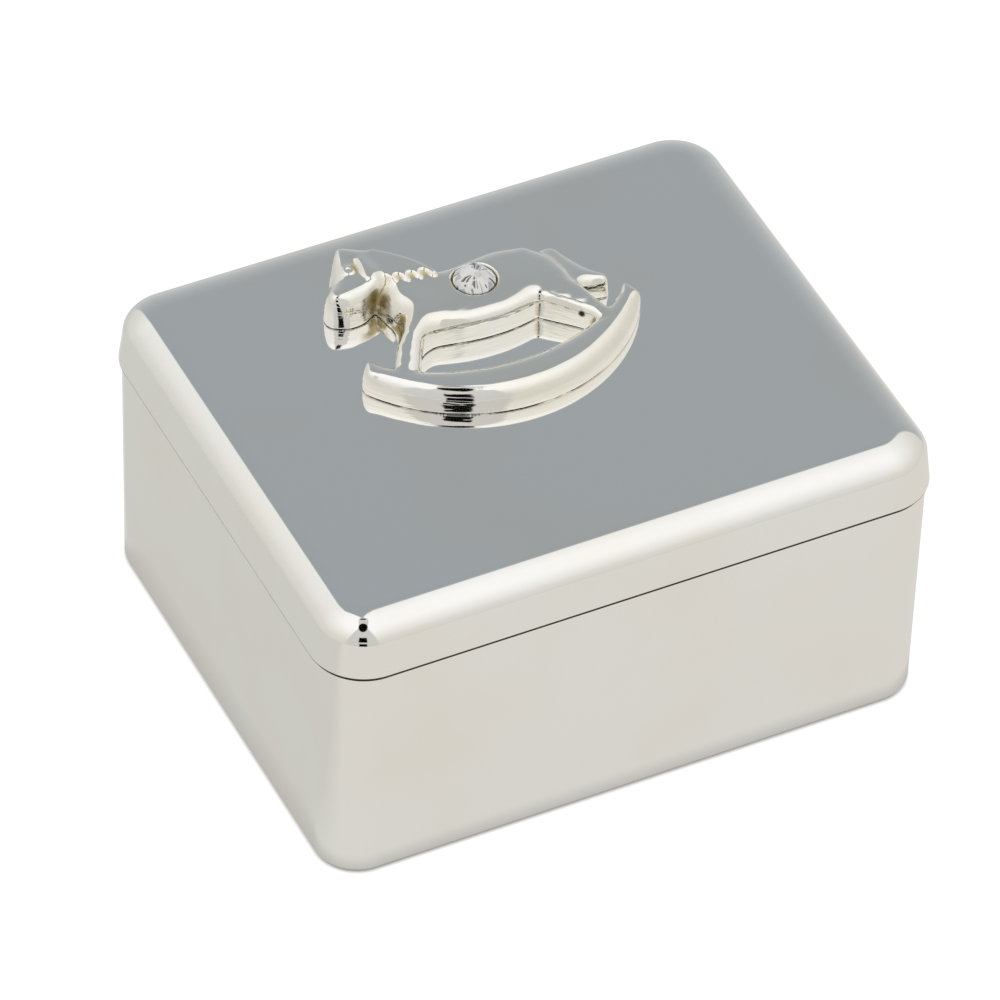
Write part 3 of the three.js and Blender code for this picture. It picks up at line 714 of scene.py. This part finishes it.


# the casting's silver: tarnish left in its hollows, a dark line of painted shade and tarnish along the joint
# with the lid, and a rippled polish
def castSilver():
    material, tree, shader = newMaterial("polished silver casting")
    coords = addNode(tree, "TexCoord").outputs["Object"]
    grime = addNode(tree, "Attribute", attribute_name="grime").outputs["Fac"]
    blotch = addNode(tree, "TexNoise", {"Vector": coords, "Scale": perMm(1.6), "Detail": 3.0})
    yellow = addNode(tree, "MapRange", {0: grime, 1: 0.0125, 2: 0.002})
    warmth = addNode(tree, "TexNoise", {"Vector": coords, "Scale": perMm(6), "Detail": 2.0})
    warm = addNode(tree, "MapRange", {0: warmth.outputs[0], 1: 0.4, 2: 0.65})
    silver = addNode(tree, "Mix", {0: warm.outputs[0], 6: srgb("fcfbf7"), 7: srgb("fbf8ef")},
                     data_type="RGBA")
    yellowed = addNode(tree, "Mix", {0: yellow.outputs[0], 6: silver.outputs[2], 7: srgb("e0d3a4")},
                       data_type="RGBA")
    smudge = stain(tree, coords, horseSizes["throat"], *horseSizes["throatStain"])
    patchy = addNode(tree, "MapRange", {0: blotch.outputs[0], 1: 0.46, 2: 0.56})
    smudged = addNode(tree, "Math", {0: smudge, 1: patchy.outputs[0]}, operation="MULTIPLY")
    brown = addNode(tree, "Mix", {0: smudged.outputs[0], 6: yellowed.outputs[2], 7: srgb("b5a67c")},
                    data_type="RGBA")
    # painted shade: a dark dot where the hind leg has a small pit
    pit = stain(tree, coords, horseSizes["pit"], *horseSizes["pitShadeReach"])
    pitted = addNode(tree, "Mix", {0: pit, 6: brown.outputs[2], 7: srgb("3a352b")}, data_type="RGBA")
    # painted shade along the joint with the lid, with tarnish in it: a patchy dark brown band just above the
    # lid, fainter towards the right front
    height = addNode(tree, "SeparateXYZ", {0: coords}).outputs["Z"]
    high, low = [(horseSizes["place"][2] + rise) * mm for rise in horseSizes["jointLine"]]
    joint = addNode(tree, "MapRange", {0: height, 1: high, 2: low})
    jointPatches = addNode(tree, "MapRange", {0: blotch.outputs[0], 1: 0.35, 2: 0.55})
    ahead = addNode(tree, "VectorMath", {0: coords, 1: horseSizes["jointFadeWay"]}, operation="DOT_PRODUCT")
    faintAt, fullAt = [reach * mm for reach in horseSizes["jointFadeReach"]]
    kept = addNode(tree, "MapRange", {0: ahead.outputs["Value"], 1: faintAt, 2: fullAt,
                                      3: horseSizes["jointFadeShare"]})
    seam = addNode(tree, "Math", {0: joint.outputs[0], 1: jointPatches.outputs[0]}, operation="MULTIPLY")
    seam = addNode(tree, "Math", {0: seam.outputs[0], 1: kept.outputs[0]}, operation="MULTIPLY")
    colour = addNode(tree, "Mix", {0: seam.outputs[0], 6: pitted.outputs[2], 7: srgb("2a2013")},
                     data_type="RGBA")
    dull = addNode(tree, "Math", {0: yellow.outputs[0], 1: smudge}, operation="MAXIMUM")
    rough = addNode(tree, "MapRange", {0: dull.outputs[0], 3: 0.06, 4: 0.42})
    flat = addNode(tree, "Mapping", {0: coords, 3: (perMm(2.5), perMm(2.5), perMm(0.4))})
    ripple = addNode(tree, "TexNoise", {"Vector": flat.outputs[0], "Scale": 1.0, "Detail": 1.0})
    bump = addNode(tree, "Bump", {"Height": ripple.outputs[0], "Strength": 1.0, "Distance": 0.04 * mm})
    tree.links.new(colour.outputs[2], shader.inputs["Base Color"])
    tree.links.new(rough.outputs[0], shader.inputs["Roughness"])
    tree.links.new(bump.outputs[0], shader.inputs["Normal"])
    shader.inputs["Metallic"].default_value = 1.0
    return material


# dark in hollows, light on ridges
def markGrime(piece):
    objectMode(piece)
    bpy.ops.geometry.color_attribute_add(name="grime", domain="POINT", data_type="FLOAT_COLOR",
                                         color=(1, 1, 1, 1))
    bpy.ops.object.mode_set(mode="VERTEX_PAINT")
    bpy.ops.paint.vertex_color_dirt(blur_strength=1.0, blur_iterations=6, clean_angle=math.pi, dirt_angle=0.0)
    bpy.ops.object.mode_set(mode="OBJECT")


horse = makeHorse()
markGrime(horse)
dress(horse, "lid", [castSilver()], "rocking_horse")
print("horse softened:", len(horse.data.polygons), "faces")


# crystal: a round stone with a faceted crown, foiled underneath; the sparkle of its facets and foil is
# painted into its colour as reflections

crystalSizes = {
    "place": (-0.1, 9.95, 31.95), "radius": 1.95, "sides": 8, "culet": 0.25, "pavilion": 0.62,
    "girdle": 0.75, "belt": 0.82, "beltZ": 1.1625, "table": 0.55, "tableZ": 1.5,
}


# clear leaded glass on silver foil, drawn as a glossy white with painted facet reflections: bright facets,
# with short dark flecks that point outwards
def crystalPaintedReflections():
    material, tree, shader = newMaterial("cut crystal with painted reflections")
    coords = addNode(tree, "TexCoord").outputs["Object"]
    middle = Vector(crystalSizes["place"]) * mm
    outward = addNode(tree, "VectorMath", {0: coords, 1: middle}, operation="SUBTRACT")
    level = addNode(tree, "VectorMath", {0: outward.outputs[0], 1: (1, 1, 0)}, operation="MULTIPLY")
    way = addNode(tree, "VectorMath", {0: level.outputs[0]}, operation="NORMALIZE")
    away = addNode(tree, "VectorMath", {0: level.outputs[0]}, operation="LENGTH")
    # painted facet reflections: dark flecks radiating from the middle, and grey cells on the white
    streaks = addNode(tree, "TexNoise", {"Vector": way.outputs[0], "Scale": 5.0, "Detail": 3.0})
    dark = addNode(tree, "MapRange", {0: streaks.outputs[0], 1: 0.52, 2: 0.56})
    breaks = addNode(tree, "TexNoise", {"Vector": coords, "Scale": perMm(0.9), "Detail": 1.0})
    short = addNode(tree, "MapRange", {0: breaks.outputs[0], 1: 0.5, 2: 0.54})
    outer = addNode(tree, "MapRange", {0: away.outputs["Value"], 1: 0.3 * mm, 2: 0.6 * mm})
    reflectionFleck = addNode(tree, "Math", {0: dark.outputs[0], 1: short.outputs[0]}, operation="MULTIPLY")
    share = addNode(tree, "Math", {0: reflectionFleck.outputs[0], 1: outer.outputs[0]}, operation="MULTIPLY")
    reflectionCells = addNode(tree, "TexVoronoi", {"Vector": coords, "Scale": perMm(0.9)})
    greyed = addNode(tree, "MapRange", {0: reflectionCells.outputs["Color"], 1: 0.55, 2: 0.75})
    pale = addNode(tree, "Mix", {0: greyed.outputs[0], 6: srgb("ffffff"), 7: srgb("c4c8cc")},
                   data_type="RGBA")
    colour = addNode(tree, "Mix", {0: share.outputs[0], 6: pale.outputs[2], 7: srgb("63676b")},
                     data_type="RGBA")
    tree.links.new(colour.outputs[2], shader.inputs["Base Color"])
    shader.inputs["Roughness"].default_value = 0.08
    shader.inputs["IOR"].default_value = 1.56
    return material


def makeCrystal():
    s = crystalSizes
    half = math.pi / s["sides"]
    rows = [
        (s["sides"], s["culet"], 0.0, 0.0),
        (2 * s["sides"], s["radius"], s["pavilion"], half / 2),
        (2 * s["sides"], s["radius"], s["girdle"], half / 2),
        (s["sides"], s["radius"] * s["belt"], s["beltZ"], 0.0),
        (s["sides"], s["radius"] * s["table"], s["tableZ"], half),
    ]
    place = Vector(s["place"])
    nothingSelected()
    bpy.ops.mesh.primitive_circle_add(vertices=3, radius=mm)
    stone = bpy.context.object
    stone.name = stone.data.name = "cut_crystal"
    bpy.ops.object.mode_set(mode="EDIT")
    bpy.ops.mesh.delete(type="VERT")
    for sides, radius, z, turn in rows:
        bpy.ops.mesh.primitive_circle_add(vertices=sides, radius=radius * mm, rotation=(0, 0, turn),
                                          location=(place + Vector((0, 0, z))) * mm)
    bpy.ops.mesh.select_all(action="SELECT")
    bpy.ops.mesh.convex_hull()
    bpy.ops.mesh.select_all(action="SELECT")
    bpy.ops.mesh.normals_make_consistent(inside=False)
    objectMode(stone)
    return stone


crystal = makeCrystal()
dress(crystal, "lid", [crystalPaintedReflections()], "crystal")
print("crystal cut:", len(crystal.data.polygons), "facets")


# velvet linings: thin wadding under a cover, blown up a little and held where they are glued

liningSizes = {"enlarge": 20.0, "pressure": 4.0, "frames": 20, "glued": 0.3}
liningPieces = [
    {"name": "velvet_floor_pad", "node": "lining_floor_pad", "body": "box", "voxel": 0.7, "shrink": 0.25,
     "cap": 0.4, "glue": (2, -1), "fill": 0.6},
    {"name": "velvet_lid_pad", "node": "lid_lining_pad", "body": "lid", "voxel": 0.45, "shrink": 0.1,
     "cap": 0.2, "glue": (2, 1), "fill": 0.6},
    {"name": "velvet_panel_front", "node": "lining_panel_front", "body": "box", "voxel": 0.36, "shrink": 0.1,
     "cap": 0.12, "glue": (1, -1), "fill": 0.8},
    {"name": "velvet_panel_back", "node": "lining_panel_back", "body": "box", "voxel": 0.36, "shrink": 0.1,
     "cap": 0.12, "glue": (1, 1), "fill": 0.8},
    {"name": "velvet_panel_left", "node": "lining_panel_left", "body": "box", "voxel": 0.36, "shrink": 0.1,
     "cap": 0.12, "glue": (0, -1), "fill": 0.8},
    {"name": "velvet_panel_right", "node": "lining_panel_right", "body": "box", "voxel": 0.36, "shrink": 0.1,
     "cap": 0.12, "glue": (0, 1), "fill": 0.8},
]


# navy cotton velvet: short brushed pile that pales at grazing angles and shades in strokes
def navyVelvet():
    material, tree, shader = newMaterial("navy cotton velvet")
    coords = addNode(tree, "TexCoord").outputs["Object"]
    strokes = addNode(tree, "TexNoise", {"Vector": coords, "Scale": perMm(7), "Detail": 2.0,
                                         "Distortion": 0.6})
    pile = addNode(tree, "TexNoise", {"Vector": coords, "Scale": perMm(0.22), "Detail": 3.0})
    brushed = addNode(tree, "Mix", {0: strokes.outputs[0], 6: srgb("1e2338"), 7: srgb("333a55")},
                      data_type="RGBA")
    tuft = addNode(tree, "MapRange", {0: pile.outputs[0], 1: 0.3, 2: 0.7, 3: 0.7, 4: 1.15})
    shade = addNode(tree, "Mix", {0: 1.0, 6: brushed.outputs[2], 7: tuft.outputs[0]}, data_type="RGBA",
                    blend_type="MULTIPLY")
    bump = addNode(tree, "Bump", {"Height": pile.outputs[0], "Strength": 0.6, "Distance": 0.12 * mm})
    tree.links.new(shade.outputs[2], shader.inputs["Base Color"])
    tree.links.new(bump.outputs[0], shader.inputs["Normal"])
    shader.inputs["Roughness"].default_value = 0.95
    shader.inputs["Specular IOR Level"].default_value = 0.15
    shader.inputs["Sheen Weight"].default_value = 0.5
    shader.inputs["Sheen Roughness"].default_value = 0.35
    shader.inputs["Sheen Tint"].default_value = srgb("8b92b0")
    return material


# the cover is enlarged to the size of a seat cushion while it is blown up, where the cloth settles well
def blowUp(piece, cap):
    s = liningSizes
    start = [point.co.copy() for point in piece.data.vertices]
    cloth = piece.modifiers.new("Cloth", "CLOTH")
    cloth.settings.use_pressure = True
    cloth.settings.uniform_pressure_force = s["pressure"]
    cloth.settings.vertex_group_mass = "glued"
    cloth.settings.effector_weights.gravity = 0.0
    cloth.point_cache.frame_end = s["frames"]
    for i in range(1, s["frames"] + 1):
        bpy.context.scene.frame_set(i)
    objectMode(piece)
    bpy.ops.object.modifier_apply(modifier=cloth.name)
    bpy.context.scene.frame_set(1)
    limit = cap * s["enlarge"] * mm
    for point, before in zip(piece.data.vertices, start):
        move = point.co - before
        if move.length > limit:
            point.co = before + move.normalized() * limit


def makeLining(entry):
    s = liningSizes
    piece = copyOfNode(entry["name"], entry["node"])
    piece.scale = (s["enlarge"],) * 3
    bpy.ops.object.transform_apply(location=False, rotation=False, scale=True)
    useModifier(piece, "REMESH", mode="VOXEL", voxel_size=entry["voxel"] * s["enlarge"] * mm)
    editMode(piece)
    bpy.ops.mesh.select_all(action="SELECT")
    bpy.ops.transform.shrink_fatten(value=-entry["shrink"] * s["enlarge"] * mm)
    objectMode(piece)
    axis, end = entry["glue"]
    reach = max(point.co[axis] * end for point in piece.data.vertices) - s["glued"] * s["enlarge"] * mm
    group = piece.vertex_groups.new(name="glued")
    group.add([point.index for point in piece.data.vertices if point.co[axis] * end > reach], 1.0, "REPLACE")
    blowUp(piece, entry["cap"])
    piece.vertex_groups.clear()
    useModifier(piece, "SUBSURF", levels=1, render_levels=1)
    objectMode(piece)
    piece.scale = (1 / s["enlarge"],) * 3
    bpy.ops.object.transform_apply(location=False, rotation=False, scale=True)
    bpy.ops.object.shade_smooth()
    return piece


velvet = navyVelvet()
for entry in liningPieces:
    lining = makeLining(entry)
    dress(lining, entry["body"], [velvet], entry["node"])
    print(entry["name"], len(lining.data.polygons), "faces")


# felt sheet laid in the recess under the tub

feltSizes = {
    "halfX": 27.4, "halfY": 22.15, "corner": 2.3, "thick": 0.8, "round": 0.12,
    "cornerSteps": 10, "edgeSteps": 3,
}


# charcoal wool felt: matted fibres with a few paler hairs
def charcoalFelt():
    material, tree, shader = newMaterial("charcoal wool felt")
    coords = addNode(tree, "TexCoord").outputs["Object"]
    fibres = addNode(tree, "TexNoise", {"Vector": coords, "Scale": perMm(0.35), "Detail": 5.0,
                                        "Distortion": 1.5})
    hairs = addNode(tree, "MapRange", {0: fibres.outputs[0], 1: 0.35, 2: 0.75})
    colour = addNode(tree, "Mix", {0: hairs.outputs[0], 6: srgb("202228"), 7: srgb("41444d")},
                     data_type="RGBA")
    bump = addNode(tree, "Bump", {"Height": fibres.outputs[0], "Strength": 0.8, "Distance": 0.15 * mm})
    tree.links.new(colour.outputs[2], shader.inputs["Base Color"])
    tree.links.new(bump.outputs[0], shader.inputs["Normal"])
    shader.inputs["Roughness"].default_value = 1.0
    shader.inputs["Specular IOR Level"].default_value = 0.1
    return material


def makeFelt():
    s = feltSizes
    rings = []
    for run, drop in quarterRound(s["round"], s["round"], s["edgeSteps"])[::-1]:
        rings.append((s["halfX"] - run, s["halfY"] - run, s["corner"] - run, s["round"] - drop))
    rings.append((s["halfX"], s["halfY"], s["corner"], s["thick"]))
    felt = loftRings("base_felt_sheet", rings, s["cornerSteps"])
    smoothShell(felt)
    return felt


feltSheet = makeFelt()
dress(feltSheet, "box", [charcoalFelt()], "base_felt")
print("felt laid")


bpy.context.scene.view_settings.view_transform = "Standard"
